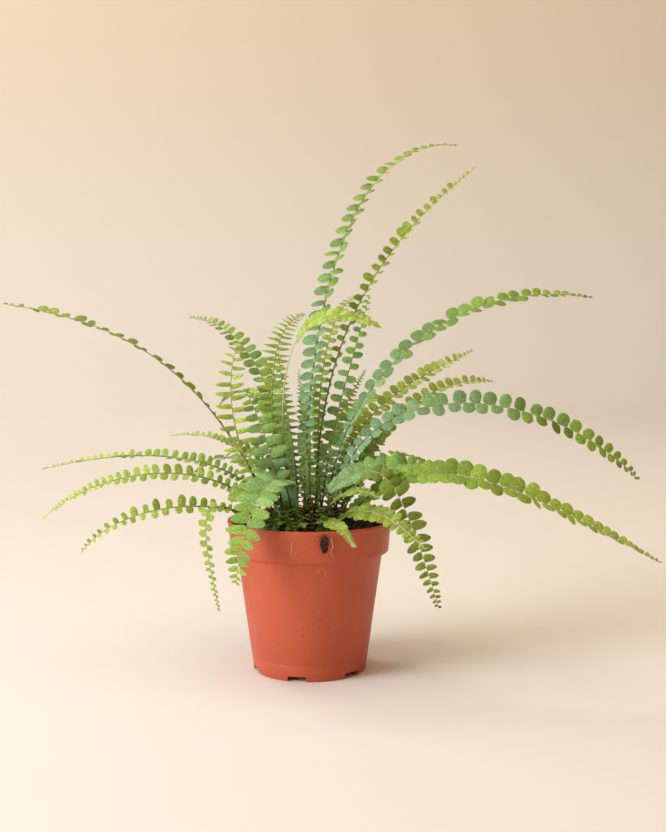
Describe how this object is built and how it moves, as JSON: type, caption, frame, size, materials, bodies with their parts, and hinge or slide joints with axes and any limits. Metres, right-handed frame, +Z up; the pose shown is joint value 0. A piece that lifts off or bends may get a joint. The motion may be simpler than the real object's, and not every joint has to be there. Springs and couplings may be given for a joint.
{
  "type": "potted fern",
  "caption": "Lemon button fern with arching fronds of small round leaflets, growing in a tapered terracotta-coloured plastic nursery pot.",
  "frame": {"origin": "middle of the pot's underside, on the surface it stands on", "axes": "+Z up, +X to the plant's right and +Y to its back, seen from its best side"},
  "size_m": [0.4628, 0.2726, 0.3817],
  "materials": {
    "pot_plastic": "satin",
    "potting_mix": "matte",
    "rhizome": "matte",
    "moss": "matte",
    "dry_stalk": "matte",
    "pale_root": "matte",
    "frond_young": "satin",
    "frond_mature": "satin",
    "frond_green": "satin"
  },
  "bodies": {
    "root": {"dry_twig_long": "dry_stalk", "dry_twig_short": "dry_stalk", "fine_root_on_rim": "pale_root", "frond_back_left_long": "frond_green", "frond_back_left_low": "frond_green", "frond_back_long": "frond_mature", "frond_back_low": "frond_green", "frond_back_right_long": "frond_green", "frond_back_right_low": "frond_green", "frond_back_yellow_tip": "frond_young", "frond_centre_left": "frond_green", "frond_centre_straight": "frond_mature", "frond_front_left_drooping": "frond_green", "frond_front_left_pale": "frond_young", "frond_front_right_small": "frond_green", "frond_front_short": "frond_young", "frond_inner_back": "frond_green", "frond_inner_front": "frond_green", "frond_inner_low_left": "frond_green", "frond_inner_low_right": "frond_green", "frond_inner_right": "frond_mature", "frond_left_back_short": "frond_young", "frond_left_back_tall": "frond_green", "frond_left_broad": "frond_mature", "frond_left_drooping": "frond_green", "frond_left_fourth": "frond_green", "frond_left_long": "frond_mature", "frond_left_pointed": "frond_green", "frond_left_second": "frond_green", "frond_left_third": "frond_green", "frond_light_arching": "frond_young", "frond_right_back_middle": "frond_green", "frond_right_back_upper": "frond_green", "frond_right_big": "frond_mature", "frond_right_drooping": "frond_green", "frond_right_front_low": "frond_green", "frond_right_low": "frond_green", "frond_right_pale": "frond_green", "frond_right_shaded": "frond_green", "frond_right_upper": "frond_mature", "frond_right_upright": "frond_mature", "frond_tall_arching": "frond_mature", "frond_tall_second": "frond_mature", "moss_patch": "moss", "nursery_pot": "pot_plastic", "old_stalk_back_right": "dry_stalk", "old_stalk_front_right": "dry_stalk", "old_stalk_right": "dry_stalk", "potting_soil": "potting_mix", "rhizome_mat": "rhizome", "soil_crumb_on_rim": "potting_mix", "young_frond_front": "frond_young", "young_frond_front_left": "frond_young", "young_frond_left": "frond_young", "young_frond_right": "frond_young"}
  },
  "joints": []
}
